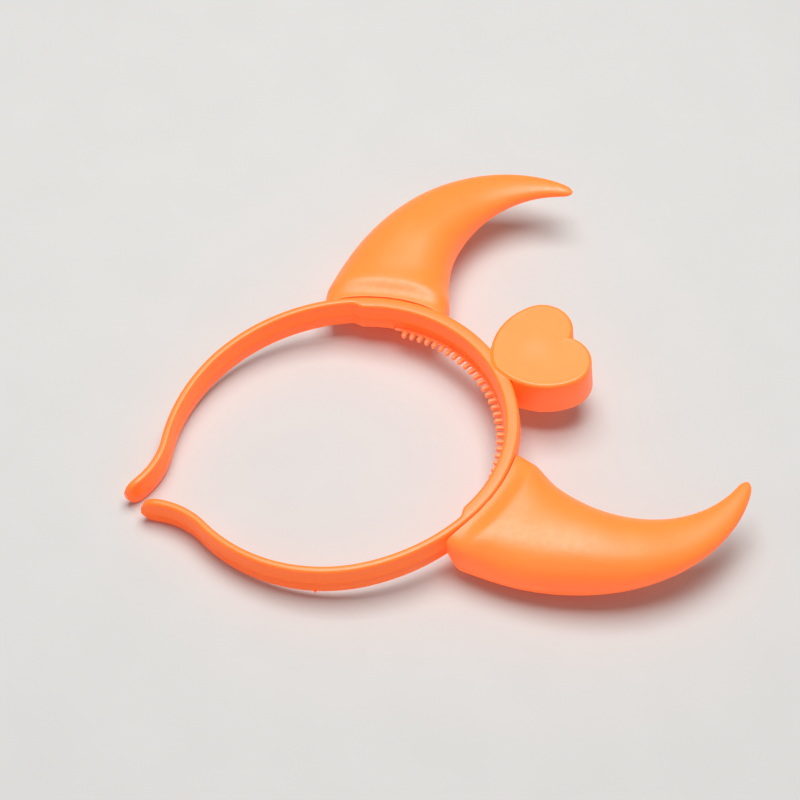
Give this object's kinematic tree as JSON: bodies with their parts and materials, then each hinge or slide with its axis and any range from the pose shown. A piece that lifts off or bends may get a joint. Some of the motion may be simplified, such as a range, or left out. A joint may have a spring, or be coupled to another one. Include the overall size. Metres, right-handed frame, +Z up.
{
  "type": "light-up horn headband",
  "caption": "Neon orange plastic party headband with curved horns, a heart light and a comb edge, lying flat.",
  "frame": {"origin": "middle of the floor area under the headband as it lies", "axes": "+X from the left horn towards the right one, +Y from the ends of the arms towards the heart and the tips of the horns, +Z up"},
  "size_m": [0.1912, 0.2022, 0.0285],
  "materials": {
    "hoop_plastic": "satin neon orange, slightly see-through",
    "horn_plastic": "satin neon orange, thin and slightly see-through",
    "comb_plastic": "satin light orange"
  },
  "bodies": {
    "root": {"headband": "hoop_plastic", "comb_strip": "comb_plastic", "horn_left": "horn_plastic", "horn_right": "horn_plastic", "heart_case": "hoop_plastic", "heart_cover": "hoop_plastic"}
  },
  "joints": []
}
